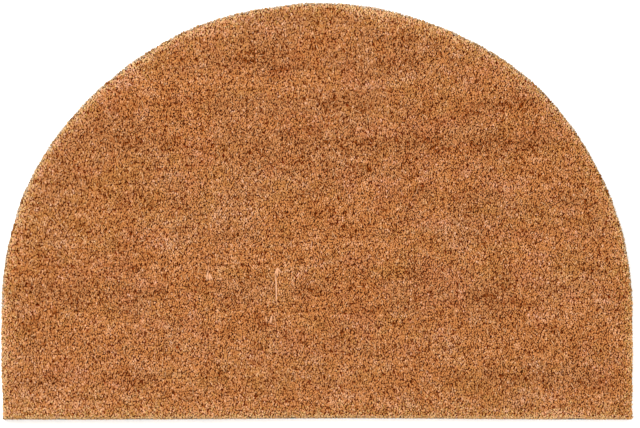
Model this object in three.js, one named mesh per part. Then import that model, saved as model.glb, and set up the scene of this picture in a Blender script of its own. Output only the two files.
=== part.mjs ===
// A half round doormat of coir. Short stiff coconut fibres stand in a thin sheet that lies on the floor.
// The mat is straight along its front edge and arched at the back. It lies flat.
// Millimetres, +Z up. X runs along the straight edge, and +Y points to the top of the arch.
// The origin is on the floor, under the middle of the mat's width and depth.
import * as THREE from "three";

// Driving dimensions
const WIDTH = 600; // along the straight edge
const DEPTH = 398; // from the straight edge to the top of the arch
const ARCH_RISE = 292; // the arch's height above the ends of the two straight sides
const BACKING_THICKNESS = 2.5;
const PIECE_GAP = 0.3; // between the backing and the pile's own solid
const TOTAL_HEIGHT = 16; // the pile's mean top above the floor
const BACKING_CORNER = 2; // radius of the two front corners
const PILE_CORNER = 5;

// Steps of the surfaces
const STEPS_ALONG = 56; // along the straight edge, and along the arch's upper part
const STEPS_ACROSS = 34; // up each side, round to the arch's upper part
const ARCH_SHOULDER = THREE.MathUtils.degToRad(48); // where the side ends and the upper part begins
const BACKING_ARCH_STEPS = 96;
const BACKING_FRONT_STEPS = 14;
const BACKING_SIDE_STEPS = 5;
const BACKING_CORNER_STEPS = 4;

// Where the cut arch stands out or in: angle from its right-hand end in degrees, how widely, and how far
const ARCH_SWELLS = [
  { angle: 48, spread: 14, out: 2.4 },
  { angle: 101, spread: 6, out: -1.2 },
  { angle: 130, spread: 11, out: -1.4 },
  { angle: 157, spread: 8, out: 0.8 },
];
const FRONT_DRAW = { x: 35, spread: 140, depth: 1.2, reach: 25 }; // the straight edge bows in a little
const CORNER_DRAW = { left: 1.8, right: 0.3, reach: 90 }; // the sides draw in towards the front corners

// The pile's side from the backing up. The outer fibres lean out a little and the cut top rounds over.
const PILE_SIDE = [
  { height: BACKING_THICKNESS + PIECE_GAP, inset: 1.5 },
  { height: 7.5, inset: 1.1 },
  { height: 12.5, inset: 0.7 },
  { height: 14.9, inset: 1.5 },
];
const PILE_TOP_INSET = 4; // where the level top begins

// Unevenness of the cut pile, as waves: how high, how long along X and Y, and where they start
const TOP_WAVES = [
  { height: 0.3, alongX: 900, alongY: 44, start: 0.4 },
  { height: 0.16, alongX: 610, alongY: -21, start: 2.1 },
  { height: 0.2, alongX: 73, alongY: 59, start: 1.2 },
  { height: 0.18, alongX: -47, alongY: 83, start: 3.0 },
  { height: 0.14, alongX: 31, alongY: 37, start: 5.1 },
];
const EDGE_WAVES = [
  { height: 0.24, length: 61, start: 0.7 },
  { height: 0.2, length: 27, start: 2.6 },
  { height: 0.16, length: 15, start: 4.4 },
];

const FRONT = -DEPTH / 2;
const SPRING = DEPTH / 2 - ARCH_RISE; // where the straight sides end and the arch begins

// The height of the pile's unevenness at a place, as a sum of slanting sine waves.
function unevenness(x, y) {
  let sum = 0;
  for (const wave of TOP_WAVES) {
    sum += wave.height * Math.sin(2 * Math.PI * (x / wave.alongX + y / wave.alongY) + wave.start);
  }
  return sum;
}

// How far the pile's edge stands back at a distance round the mat: never less than nothing.
function edgeUnevenness(around) {
  let sum = 0;
  let most = 0;
  for (const wave of EDGE_WAVES) {
    sum += wave.height * Math.sin((2 * Math.PI * around) / wave.length + wave.start);
    most += wave.height;
  }
  return most + sum;
}

// A bell curve: 1 at its middle and 0 far from it.
function bell(offset, spread) {
  return Math.exp(-((offset / spread) ** 2));
}

// The direction from the middle of the arch's base to a point.
function outward(point) {
  return point.clone().sub(new THREE.Vector2(0, SPRING)).normalize();
}

// Moves a point of the drawn outline to the cut mat's edge: the arch swells, the straight edge bows in and
// the sides draw in towards the front corners.
function asCut(point) {
  const moved = point.clone();
  const up = (point.y - SPRING) / ARCH_RISE;
  if (up > 0) {
    const angle = THREE.MathUtils.radToDeg(Math.atan2(up, point.x / (WIDTH / 2)));
    const swell = ARCH_SWELLS.reduce((sum, s) => sum + s.out * bell(angle - s.angle, s.spread), 0);
    moved.addScaledVector(outward(point), swell);
  }
  const fromFront = point.y - FRONT;
  const bow = FRONT_DRAW.depth * bell(point.x - FRONT_DRAW.x, FRONT_DRAW.spread);
  moved.y += bow * Math.exp(-fromFront / FRONT_DRAW.reach);
  const nearCorner = Math.max(0, 1 - fromFront / CORNER_DRAW.reach);
  const draw = point.x < 0 ? CORNER_DRAW.left : CORNER_DRAW.right;
  const sideways = Math.min(1, Math.abs(point.x) / (WIDTH / 2)) ** 6;
  moved.x -= Math.sign(point.x) * draw * nearCorner ** 2 * sideways;
  return moved;
}

// Numbers from 0 to 1 with one short first and last step, which leaves room for a round corner.
function stepsWithCorners(steps, firstStep, lastStep) {
  const places = [0, firstStep];
  for (let i = 1; i < steps - 2; i += 1) {
    places.push(firstStep + ((1 - firstStep - lastStep) * i) / (steps - 2));
  }
  places.push(1 - lastStep, 1);
  return places;
}

// A place on the right-hand side: up the straight side first, then round the arch to its shoulder.
function sidePoint(share, inset) {
  const straight = SPRING - FRONT - inset;
  const archLength = ARCH_SHOULDER * (ARCH_RISE - inset);
  const run = share * (straight + archLength);
  if (run <= straight) {
    return new THREE.Vector2(WIDTH / 2 - inset, FRONT + inset + run);
  }
  return archPoint((run - straight) / (ARCH_RISE - inset), inset);
}

// A place on the arch at an angle from its right-hand end.
function archPoint(angle, inset) {
  return new THREE.Vector2(
    (WIDTH / 2 - inset) * Math.cos(angle),
    SPRING + (ARCH_RISE - inset) * Math.sin(angle),
  );
}

// The pile's outline at an inset, as four runs that meet at the two front corners and the two shoulders.
function pileRuns(inset) {
  const frontLength = WIDTH - 2 * inset;
  const sideLength = SPRING - FRONT + ARCH_SHOULDER * ARCH_RISE - 2 * inset;
  const corner = PILE_CORNER * (1 - Math.SQRT1_2);
  const frontPlaces = stepsWithCorners(STEPS_ALONG, PILE_CORNER / frontLength, PILE_CORNER / frontLength);
  const sidePlaces = stepsWithCorners(STEPS_ACROSS, PILE_CORNER / sideLength, 1 / STEPS_ACROSS);
  const front = frontPlaces.map((s) => new THREE.Vector2((s - 0.5) * frontLength, FRONT + inset));
  const right = sidePlaces.map((s) => sidePoint(s, inset));
  for (const end of [front[0], front[STEPS_ALONG], right[0]]) {
    end.set(end.x - Math.sign(end.x) * corner, end.y + corner);
  }
  const upper = [];
  for (let i = 0; i <= STEPS_ALONG; i += 1) {
    const turn = i / STEPS_ALONG;
    upper.push(archPoint(THREE.MathUtils.lerp(Math.PI - ARCH_SHOULDER, ARCH_SHOULDER, turn), inset));
  }
  const left = right.map((p) => new THREE.Vector2(-p.x, p.y));
  const runs = { front, right, upper, left };
  for (const name of Object.keys(runs)) {
    runs[name] = runs[name].map((p) => pileEdge(p));
  }
  return runs;
}

// The pile's edge for a point of the drawn outline: as the mat is cut, and back by the pile's unevenness.
function pileEdge(point) {
  const out = outward(point);
  const around = out.angle() * (WIDTH / 2);
  return asCut(point).addScaledVector(out, -edgeUnevenness(around));
}

// A grid of points that fills four runs: opposite runs are joined by straight lines and the corners' share
// is taken off once.
function filledGrid({ front, right, upper, left }) {
  const rows = [];
  for (let j = 0; j <= STEPS_ACROSS; j += 1) {
    const v = j / STEPS_ACROSS;
    const row = [];
    for (let i = 0; i <= STEPS_ALONG; i += 1) {
      const u = i / STEPS_ALONG;
      const point = new THREE.Vector2()
        .addScaledVector(front[i], 1 - v)
        .addScaledVector(upper[i], v)
        .addScaledVector(left[j], 1 - u)
        .addScaledVector(right[j], u)
        .addScaledVector(front[0], -(1 - u) * (1 - v))
        .addScaledVector(front[STEPS_ALONG], -u * (1 - v))
        .addScaledVector(upper[0], -(1 - u) * v)
        .addScaledVector(upper[STEPS_ALONG], -u * v);
      row.push(point);
    }
    rows.push(row);
  }
  return rows;
}

// The outline once round, against the clock from the left front corner.
function onceRound({ front, right, upper, left }) {
  return [
    ...front.slice(0, -1),
    ...right.slice(0, -1),
    ...upper.slice(1).reverse(),
    ...left.slice(1).reverse(),
  ];
}

// The pile: a slab with an uneven top, a rounded rim and sides that lean out.
function pileGeometry() {
  const positions = [];
  const faces = [];
  const addPoint = (p, height) => positions.push(p.x, p.y, height) / 3 - 1;

  const rings = PILE_SIDE.map(({ height, inset }) =>
    onceRound(pileRuns(inset)).map((p) => addPoint(p, height)),
  );
  const grid = filledGrid(pileRuns(PILE_TOP_INSET)).map((row) =>
    row.map((p) => addPoint(p, TOTAL_HEIGHT + unevenness(p.x, p.y))),
  );
  const column = (i) => grid.map((row) => row[i]);
  rings.push(
    onceRound({
      front: grid[0],
      right: column(STEPS_ALONG),
      upper: grid[STEPS_ACROSS],
      left: column(0),
    }),
  );

  const addQuad = (a, b, c, d) => faces.push(a, b, c, a, c, d);
  for (let ring = 0; ring + 1 < rings.length; ring += 1) {
    const lower = rings[ring];
    const upper = rings[ring + 1];
    lower.forEach((point, i) => {
      const next = (i + 1) % lower.length;
      addQuad(point, lower[next], upper[next], upper[i]);
    });
  }
  for (let j = 0; j < STEPS_ACROSS; j += 1) {
    for (let i = 0; i < STEPS_ALONG; i += 1) {
      addQuad(grid[j][i], grid[j][i + 1], grid[j + 1][i + 1], grid[j + 1][i]);
    }
  }
  const underside = onceRound(pileRuns(PILE_SIDE[0].inset));
  for (const [a, b, c] of THREE.ShapeUtils.triangulateShape(underside, [])) {
    faces.push(rings[0][a], rings[0][c], rings[0][b]);
  }

  const geometry = new THREE.BufferGeometry();
  geometry.setAttribute("position", new THREE.Float32BufferAttribute(positions, 3));
  geometry.setIndex(faces);
  geometry.computeVertexNormals();
  return geometry;
}

// Points on part of an ellipse, with both ends, against the clock.
function ellipsePoints(centreX, centreY, radiusX, radiusY, fromAngle, toAngle, steps) {
  return new THREE.EllipseCurve(centreX, centreY, radiusX, radiusY, fromAngle, toAngle).getPoints(steps);
}

// Points between two places on a straight line, without its ends.
function between(from, to, steps) {
  return new THREE.LineCurve(from, to).getPoints(steps).slice(1, -1);
}

// The backing: a flat sheet with the mat's full outline.
function backingGeometry() {
  const r = BACKING_CORNER;
  const side = WIDTH / 2;
  const corner = (centreX, from) =>
    ellipsePoints(centreX, FRONT + r, r, r, from, from + Math.PI / 2, BACKING_CORNER_STEPS);
  const place = (x, y) => new THREE.Vector2(x, y);
  const drawn = [
    ...between(place(r - side, FRONT), place(side - r, FRONT), BACKING_FRONT_STEPS),
    ...corner(side - r, -Math.PI / 2),
    ...between(place(side, FRONT + r), place(side, SPRING), BACKING_SIDE_STEPS),
    ...ellipsePoints(0, SPRING, side, ARCH_RISE, 0, Math.PI, BACKING_ARCH_STEPS),
    ...between(place(-side, SPRING), place(-side, FRONT + r), BACKING_SIDE_STEPS),
    ...corner(r - side, Math.PI),
  ];
  const outline = new THREE.Shape(drawn.map((p) => asCut(p)));
  return new THREE.ExtrudeGeometry(outline, { depth: BACKING_THICKNESS, bevelEnabled: false });
}

function namedMesh(name, geometry, material) {
  const mesh = new THREE.Mesh(geometry, material);
  mesh.name = name;
  return mesh;
}

const backingSheet = new THREE.MeshStandardMaterial({ color: 0x4a473c, roughness: 0.75, metalness: 0 });
const coirPile = new THREE.MeshStandardMaterial({ color: 0xaf7041, roughness: 1, metalness: 0 });

const doormat = new THREE.Group();
doormat.name = "half_round_doormat";
doormat.add(namedMesh("backing", backingGeometry(), backingSheet));
doormat.add(namedMesh("pile", pileGeometry(), coirPile));

export default doormat;
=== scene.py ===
"""A half round doormat of coir: a thin dark backing sheet and a dense pile of cut coconut fibre.

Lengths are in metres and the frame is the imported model's. X runs along the straight edge, Y from the straight
edge to the top of the arch and Z up, with the origin on the floor under the middle of the mat.
"""
import math
import bpy
import numpy as np
from bpy.props import FloatProperty, FloatVectorProperty, IntProperty, PointerProperty
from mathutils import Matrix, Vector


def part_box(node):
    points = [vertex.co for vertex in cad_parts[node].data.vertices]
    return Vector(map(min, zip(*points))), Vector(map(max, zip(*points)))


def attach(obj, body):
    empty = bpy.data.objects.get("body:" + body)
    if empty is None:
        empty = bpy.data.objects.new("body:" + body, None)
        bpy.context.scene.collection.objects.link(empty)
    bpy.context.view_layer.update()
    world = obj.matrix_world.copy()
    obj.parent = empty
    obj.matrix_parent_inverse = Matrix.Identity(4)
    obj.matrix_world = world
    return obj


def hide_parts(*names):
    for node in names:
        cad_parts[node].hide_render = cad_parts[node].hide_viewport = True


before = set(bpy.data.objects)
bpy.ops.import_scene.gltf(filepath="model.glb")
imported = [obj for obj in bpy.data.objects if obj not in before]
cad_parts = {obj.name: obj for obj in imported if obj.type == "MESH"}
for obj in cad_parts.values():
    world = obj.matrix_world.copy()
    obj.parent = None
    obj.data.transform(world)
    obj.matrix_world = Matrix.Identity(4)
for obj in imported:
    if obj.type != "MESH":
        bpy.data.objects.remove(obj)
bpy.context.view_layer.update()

bl_info = {
    "name": "Half Round Doormat",
    "version": (1, 0, 0),
    "blender": (4, 5, 0),
    "location": "3D View > Sidebar > Doormat",
    "description": "Builds the backing, the coir pile and a plain stage for a half round doormat",
    "category": "Add Mesh",
}

# Places read from the frame
BACKING_LOW, BACKING_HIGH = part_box("backing")
PILE_LOW, PILE_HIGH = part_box("pile")
WIDTH = BACKING_HIGH.x - BACKING_LOW.x
DEPTH = BACKING_HIGH.y - BACKING_LOW.y
FRONT = BACKING_LOW.y
BACKING_TOP = BACKING_HIGH.z
PILE_BASE = PILE_LOW.z

MM = 0.001
FIBRE_MAP = "OFBake"  # the fibres' own UV map: shade and hue across, place along the fibre up
HUES = 6  # columns of the fibre map: dull, straw, rosy, amber, bleached and greyed
DULL, STRAW, ROSY, AMBER, BLEACHED, GREYED = range(HUES)
COLUMN_MARGIN = 0.06  # kept free at each side of a column, as a share of it
END_MARGIN = 0.03  # kept free at each end of a column
BAND_COUNT = 5  # the pile is made in this many crosswise bands

ROOT_Z = BACKING_TOP + 0.4 * MM  # where the fibres at the rim start
MIDDLE_HEIGHT = 0.58  # a fibre's middle point, as a share of the way up
LEAN_ABOVE = 0.62  # share of a fibre's lean that lies above its middle point
FIBRE_TAPER = (0.8, 1.15, 1.6)  # radius at the root, the middle and the tip, as shares of the fibre's radius
MEAN_SHADE = 0.52  # of the fibres inside the mat, before anything makes them lighter or darker

# Where the cut arch stands out or in: angle from its right-hand end in degrees, how widely, and how far
ARCH_SWELLS = (
    (48, 14, 2.4 * MM),
    (101, 6, -1.2 * MM),
    (130, 11, -1.4 * MM),
    (157, 8, 0.8 * MM),
)

# Waves of the pile's top: height, wavelength along X and Y, start
TOP_WAVES = (
    (0.30 * MM, 900 * MM, 44 * MM, 0.4),
    (0.16 * MM, 610 * MM, -21 * MM, 2.1),
    (0.20 * MM, 73 * MM, 59 * MM, 1.2),
    (0.18 * MM, -47 * MM, 83 * MM, 3.0),
    (0.14 * MM, 31 * MM, 37 * MM, 5.1),
)

# Soft crosswise bands, in millimetres: distance from the straight edge, half width, and how much lighter
TONE_BANDS = (
    (60, 60, 0.025),
    (16, 12, 0.06),
    (36, 6, -0.06),
    (54, 8, 0.04),
    (65, 6, -0.03),
    (75, 6, 0.03),
    (122, 9, -0.045),
    (152, 6, 0.02),
    (163, 8, 0.05),
    (183, 6, 0.02),
    (236, 8, 0.02),
    (262, 8, -0.08),
    (300, 7, -0.08),
    (321, 6, 0.04),
    (333, 6, -0.03),
    (343, 8, -0.04),
    (384, 8, -0.06),
)

# Lighter and darker places, in millimetres: X, distance from the straight edge, half length, half depth,
# and how much lighter
TONE_SPOTS = (
    (-102, 321, 60, 6, 0.08),
    (105, 296, 22, 7, 0.06),
    (80, 380, 20, 7, 0.1),
    (49, 159, 20, 6, 0.05),
    (7, 205, 16, 6, 0.11),
    (66, 32, 16, 6, 0.08),
    (-280, 42, 12, 8, 0.09),
    (75, 279, 18, 6, 0.10),
    (-215, 282, 24, 7, 0.07),
    (46, 219, 15, 6, 0.10),
    (-258, 192, 22, 9, 0.09),
    (30, 166, 45, 9, 0.07),
    (-150, 140, 5, 5, 0.14),
    (-45, 94.5, 6, 3.5, 0.26),
    (-9, 73, 11, 7, 0.11),
    (232, 100, 24, 18, 0.06),
    (-230, 16, 50, 8, 0.08),
    (28, 24, 12, 8, 0.10),
    (67, 14, 14, 11, 0.10),
    (237, 17, 14, 10, 0.12),
    (228, 9, 14, 6, 0.14),
    (-26, 106, 14, 6, 0.07),
    (-66, 316, 16, 5, 0.06),
    (-64, 146, 15, 6, 0.1),
    (294, 19, 9, 12, -0.22),
    (291, 54, 12, 9, -0.07),
    (-293, 19, 9, 10, -0.13),
    (-256, 245, 14, 8, -0.09),
    (-36, 382, 18, 6, -0.09),
    (189, 251, 18, 6, -0.06),
    (-85, 171, 16, 5, -0.07),
    (-58, 267, 16, 6, -0.06),
    (-240, 268, 14, 6, -0.07),
    (-142, 224, 14, 6, -0.06),
    (291, 104, 8, 10, -0.08),
    (45, 158, 14, 5, 0.09),
    (-265, 40, 12, 6, 0.06),
    (198, 190, 14, 8, 0.06),
    (-35, 282, 14, 5, 0.07),
    (-64, 341, 12, 4, -0.06),
    (-11, 341, 12, 5, -0.06),
    (89, 329, 20, 6, -0.06),
    (-53, 268, 14, 6, -0.07),
    (-120, 219, 24, 8, -0.08),
    (251, 161, 20, 8, -0.12),
    (-93, 102, 16, 6, -0.06),
    (-92, 292, 7, 11, -0.17),
    (-6, 274, 18, 7, -0.13),
    (132, 271, 48, 11, -0.06),
    (210, 272, 16, 12, -0.11),
    (101, 216, 9, 6, -0.13),
    (141, 199, 9, 8, -0.14),
    (-127, 178, 8, 5, -0.13),
    (-16, 124, 16, 7, -0.18),
    (91, 137, 13, 13, -0.12),
    (155, 112, 30, 16, -0.06),
    (-49.4, 88.5, 3, 5, -0.26),
    (17, 75, 16, 10, -0.09),
    (136, 45, 46, 8, -0.06),
    (251, 35, 16, 8, -0.12),
)

# Soft noise in the fibres' shade: strength, size along X and along Y, and seed
SHADE_NOISES = (
    (0.045, 60 * MM, 22 * MM, 31),
    (0.055, 36 * MM, 8 * MM, 32),
    (0.095, 13 * MM, 7 * MM, 36),
)

# Single fibres that lie on top, in millimetres and degrees: X, distance from the straight edge, length,
# direction, bow, radius and shade
STRAY_FIBRES = (
    (-38.9, 124.0, 30, 91.2, -0.3, 1.1, 0.87),
    (-38.4, 140.2, 8, 66, 0.1, 1.5, 0.81),
    (-35.7, 141.2, 7, 126, 0.2, 1.4, 0.78),
    (-37.4, 138.6, 7, 84, 0.2, 1.7, 0.75),
    (-103.6, 135.9, 10, 82, 0.6, 1.6, 0.81),
    (-101.9, 134.6, 7, 96, 0.2, 1.9, 0.74),
    (-100.6, 135.2, 8, 114, 0.3, 1.4, 0.77),
    (-102.7, 143.6, 6, 92, 0.1, 0.8, 0.72),
    (-47.8, 94.6, 7, 98, 0.3, 1.6, 0.68),
    (-43.2, 94.2, 8, 80, 0.3, 1.7, 0.78),
    (-40.4, 95.4, 6, 104, -0.3, 1.3, 0.66),
    (-24.4, 166, 8, 90, 0.2, 0.5, 0.95),
    (-4.7, 165, 9, 88, 0.4, 0.5, 0.95),
)


class DoormatSizes(bpy.types.PropertyGroup):
    """Sizes of the mat."""

    arch_rise: FloatProperty(
        name="Arch rise",
        description="Height of the arch above the ends of the straight sides",
        default=292 * MM,
        unit="LENGTH",
    )
    pile_top: FloatProperty(
        name="Pile top",
        description="Mean height of the cut pile above the floor",
        default=16 * MM,
        unit="LENGTH",
    )
    bed_depth: FloatProperty(
        name="Bed depth",
        description="How far the dark dense bed lies under the fibres' tips",
        default=4.0 * MM,
        unit="LENGTH",
    )
    fibre_spacing: FloatProperty(
        name="Fibre spacing",
        description="Distance between neighbouring fibres",
        default=1.66 * MM,
        unit="LENGTH",
    )
    fibre_radius: FloatProperty(
        name="Fibre radius",
        description="Radius of a lock of fibres below its middle, before it widens towards its tip",
        default=0.72 * MM,
        unit="LENGTH",
    )
    lock_pitch: FloatProperty(
        name="Lock pitch",
        description="Distance between locks whose fibres lean the same way",
        default=3.4 * MM,
        unit="LENGTH",
    )
    tuft_pitch: FloatProperty(
        name="Tuft pitch",
        description="Distance between the larger tufts",
        default=7.0 * MM,
        unit="LENGTH",
    )
    lean: FloatProperty(
        name="Lean",
        description="How far a fibre's tip stands sideways of its root",
        default=2.1 * MM,
        unit="LENGTH",
    )
    rim_reach: FloatProperty(
        name="Rim reach",
        description="Width of the strip along the edge where the fibres splay outwards",
        default=3.2 * MM,
        unit="LENGTH",
    )
    left_corner_draw: FloatProperty(
        name="Left corner draw",
        description="How far the left side draws in at its front corner",
        default=2.6 * MM,
        unit="LENGTH",
    )
    right_corner_draw: FloatProperty(
        name="Right corner draw",
        description="How far the right side draws in at its front corner",
        default=1.1 * MM,
        unit="LENGTH",
    )
    corner_draw_reach: FloatProperty(
        name="Corner draw reach",
        description="How far up the sides the drawn-in corners show",
        default=110 * MM,
        unit="LENGTH",
    )
    front_bow: FloatProperty(
        name="Front bow",
        description="How far the straight edge bows in",
        default=1.2 * MM,
        unit="LENGTH",
    )
    front_bow_x: FloatProperty(
        name="Front bow place",
        description="X of the place where the straight edge bows in most",
        default=35 * MM,
        unit="LENGTH",
    )
    front_bow_spread: FloatProperty(
        name="Front bow spread",
        description="How widely the straight edge bows in",
        default=140 * MM,
        unit="LENGTH",
    )
    hole_pitch: FloatProperty(
        name="Hole pitch",
        description="Distance between the small dark holes in the pile",
        default=6.4 * MM,
        unit="LENGTH",
    )
    rim_row_count: IntProperty(
        name="Fibres in a rim row",
        description="Number of fibres in each row that closes the edge",
        default=1500,
        min=100,
    )
    hanging_count: IntProperty(
        name="Hanging fibres",
        description="Number of places along the straight edge where a fibre may hang over the backing",
        default=560,
        min=2,
    )
    stray_count: IntProperty(
        name="Stray fibres",
        description="Number of loose fibres scattered over the top",
        default=30,
        min=0,
    )
    lying_count: IntProperty(
        name="Lying fibres",
        description="Number of short fibres that lie among the tips",
        default=800,
        min=0,
    )


class DoormatColours(bpy.types.PropertyGroup):
    """Colours of the fibres and of the backing."""

    shade: FloatVectorProperty(
        name="Shaded fibre",
        description="Colour of the darkest fibres",
        default=(0.185, 0.038, 0.003),
        subtype="COLOR",
    )
    golden: FloatVectorProperty(
        name="Golden fibre",
        description="Colour of most fibres",
        default=(0.396, 0.161, 0.0515),
        subtype="COLOR",
    )
    pale: FloatVectorProperty(
        name="Pale fibre",
        description="Colour of the lightest fibres",
        default=(0.555, 0.292, 0.157),
        subtype="COLOR",
    )
    backing: FloatVectorProperty(
        name="Backing",
        description="Colour of the backing sheet",
        default=(0.069, 0.063, 0.045),
        subtype="COLOR",
    )
    floor: FloatVectorProperty(
        name="Floor",
        description="Colour of the floor",
        default=(0.93, 0.93, 0.92),
        subtype="COLOR",
    )


def arch_start(sizes):
    """Y where the straight sides end: the mat's depth less the arch's rise, counted from the front."""
    return FRONT + DEPTH - sizes.arch_rise


def bell(offset, spread):
    """A bell curve: e to the power of minus the square of the offset over the spread."""
    return np.exp(-((offset / spread) ** 2))


def fade(distance, reach):
    """1 at no distance, and smaller by the factor e for each reach further away."""
    return np.exp(-distance / reach)


def arch_swell(sizes, x, y):
    """How far the cut arch stands out in the direction of a place: a sum of bell curves of its angle."""
    up = (y - arch_start(sizes)) / sizes.arch_rise
    angle = np.degrees(np.arctan2(np.maximum(up, 0), x / (WIDTH / 2)))
    swell = sum(out * bell(angle - at, spread) for at, spread, out in ARCH_SWELLS)
    return np.where(up > 0, swell, 0)


def side_draw(sizes, x, y):
    """How far a side draws in at a height: its corner's draw, by the square of the nearness to the front."""
    near = np.clip(1 - (y - FRONT) / sizes.corner_draw_reach, 0, 1)
    return np.where(x < 0, sizes.left_corner_draw, sizes.right_corner_draw) * near**2


def front_draw(sizes, x):
    """How far the straight edge bows in at a place: a bell curve of X."""
    return sizes.front_bow * bell(x - sizes.front_bow_x, sizes.front_bow_spread)


def outline(sizes, steps, corner_radius):
    """Points round the mat against the clock, evenly spaced, from the middle of the straight edge.

    The drawn line runs along the front, up the right side, round half an ellipse and down the left side, with
    two arcs at the front corners. Each point's distance along it is looked up between finely spaced ones. The
    points are then moved to the cut edge: out from the middle of the arch's base by the swell, and in by the
    draws.
    """
    start = arch_start(sizes)
    half = WIDTH / 2
    corner = np.linspace(-math.pi / 2, 0, 9)
    corner_x = half - corner_radius * (1 - np.cos(corner))
    right_corner = np.stack([corner_x, FRONT + corner_radius * (1 + np.sin(corner))], 1)
    arch = np.linspace(0, math.pi, 721)
    arch_line = np.stack([half * np.cos(arch), start + sizes.arch_rise * np.sin(arch)], 1)
    left_corner = right_corner[::-1] * (-1, 1)
    line = np.concatenate([[(0, FRONT)], right_corner, arch_line, left_corner, [(0, FRONT)]])
    along = np.concatenate([[0], np.cumsum(np.linalg.norm(np.diff(line, axis=0), axis=1))])
    wanted = np.arange(steps) * along[-1] / steps
    x, y = (np.interp(wanted, along, line[:, i]) for i in range(2))
    length = np.hypot(x, y - start)
    swell = arch_swell(sizes, x, y)
    sideways = (np.abs(x) / half) ** 6
    at_front = fade(y - FRONT, 25 * MM)
    moved_x = x + swell * x / length - np.sign(x) * side_draw(sizes, x, y) * sideways
    moved_y = y + swell * (y - start) / length + front_draw(sizes, x) * at_front
    return np.stack([moved_x, moved_y], 1)


def edge_distance(sizes, x, y):
    """How far inside the outline a place is, and the outward direction there.

    The distance is the least of those to the front, to the sides and to the arch. The arch's is what is left
    of the ellipse's unit radius, times the real radius in that direction, plus the swell. The direction is
    the mean of the outward directions, weighted by how near each edge is.
    """
    half = WIDTH / 2
    up = np.maximum(y - arch_start(sizes), 0)
    unit = np.hypot(x / half, up / sizes.arch_rise)
    radius = np.hypot(x, up) / np.maximum(unit, 1e-9)
    to_arch = (1 - unit) * radius + arch_swell(sizes, x, y)
    to_side = np.where(up > 0, to_arch, half - side_draw(sizes, x, y) - np.abs(x))
    to_front = y - FRONT - front_draw(sizes, x)
    out_x = np.where(up > 0, x / half**2, np.sign(x) / half)
    out_y = up / sizes.arch_rise**2
    length = np.maximum(np.hypot(out_x, out_y), 1e-9)
    reach = 3 * MM
    side_weight = np.exp(-np.clip(to_side / reach, -20, 20))
    front_weight = np.exp(-np.clip(to_front / reach, -20, 20))
    total = side_weight + front_weight + 1e-12
    out_x = out_x / length * side_weight / total
    out_y = (out_y / length * side_weight - front_weight) / total
    return np.minimum(to_side, to_front), out_x, out_y


def unevenness(x, y):
    """The height of the pile's slow unevenness at a place: a sum of slanting sine waves."""
    waves = [h * np.sin(2 * math.pi * (x / a + y / b) + c) for h, a, b, c in TOP_WAVES]
    return np.sum(waves, axis=0)


def soft_noise(x, y, pitch_x, pitch_y, seed):
    """Smooth noise between -1 and 1.

    Random values stand on a lattice with these pitches. A place gets the mean of the four values round it,
    weighted by a smooth step of how near each is.
    """
    u = (x + WIDTH) / pitch_x
    v = (y + WIDTH) / pitch_y
    column = np.floor(u).astype(int)
    row = np.floor(v).astype(int)
    size = (int(2 * WIDTH / pitch_x) + 3, int(2 * WIDTH / pitch_y) + 3)
    lattice = np.random.default_rng(seed).uniform(-1, 1, size)
    s = u - column
    t = v - row
    s = s * s * (3 - 2 * s)
    t = t * t * (3 - 2 * t)
    low = lattice[column, row] * (1 - s) + lattice[column + 1, row] * s
    high = lattice[column, row + 1] * (1 - s) + lattice[column + 1, row + 1] * s
    return low * (1 - t) + high * t


def scattered_cells(x, y, pitch, seed):
    """Cells round scattered points, one in each square of a lattice.

    Returns the distance to the nearest point and to the next one, the vector to the nearest, and its number.
    """
    across = int(2 * WIDTH / pitch) + 4
    jitter = np.random.default_rng(seed).uniform(0.1, 0.9, (across, across, 2))
    column = np.floor((x + WIDTH) / pitch).astype(int)
    row = np.floor((y + WIDTH) / pitch).astype(int)
    nearest = np.full(x.shape, np.inf)
    second = np.full(x.shape, np.inf)
    to_x = np.zeros(x.shape)
    to_y = np.zeros(x.shape)
    number = np.zeros(x.shape, int)
    for step_x in (-1, 0, 1):
        for step_y in (-1, 0, 1):
            c = column + step_x
            r = row + step_y
            dx = (c + jitter[c, r, 0]) * pitch - WIDTH - x
            dy = (r + jitter[c, r, 1]) * pitch - WIDTH - y
            distance = np.hypot(dx, dy)
            closer = distance < nearest
            second = np.where(closer, nearest, np.minimum(second, distance))
            to_x = np.where(closer, dx, to_x)
            to_y = np.where(closer, dy, to_y)
            number = np.where(closer, c * across + r, number)
            nearest = np.where(closer, distance, nearest)
    return nearest, second, to_x, to_y, number


def cell_values(number, seed, low=0.0, high=1.0):
    """One random value for each numbered cell."""
    return np.random.default_rng(seed).uniform(low, high, number.max() + 1)[number]


def mesh_piece(name, points, faces, material, uv=None, smooth=True):
    """An object from an array of points and one of faces, which all have the same number of corners.

    uv has a row for each corner of each face.
    """
    mesh = bpy.data.meshes.new(name)
    faces = np.asarray(faces, np.int32)
    mesh.vertices.add(len(points))
    mesh.vertices.foreach_set("co", np.asarray(points, np.float32).ravel())
    mesh.loops.add(faces.size)
    mesh.loops.foreach_set("vertex_index", faces.ravel())
    mesh.polygons.add(len(faces))
    mesh.polygons.foreach_set("loop_start", np.arange(0, faces.size, faces.shape[1], dtype=np.int32))
    mesh.update(calc_edges=True)
    if uv is not None:
        mesh.uv_layers.new(name=FIBRE_MAP)
        mesh.uv_layers[FIBRE_MAP].uv.foreach_set("vector", np.asarray(uv, np.float32).ravel())
    mesh.polygons.foreach_set("use_smooth", np.full(len(faces), smooth))
    mesh.materials.append(material)
    piece = bpy.data.objects.new(name, mesh)
    bpy.context.scene.collection.objects.link(piece)
    return piece


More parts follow.
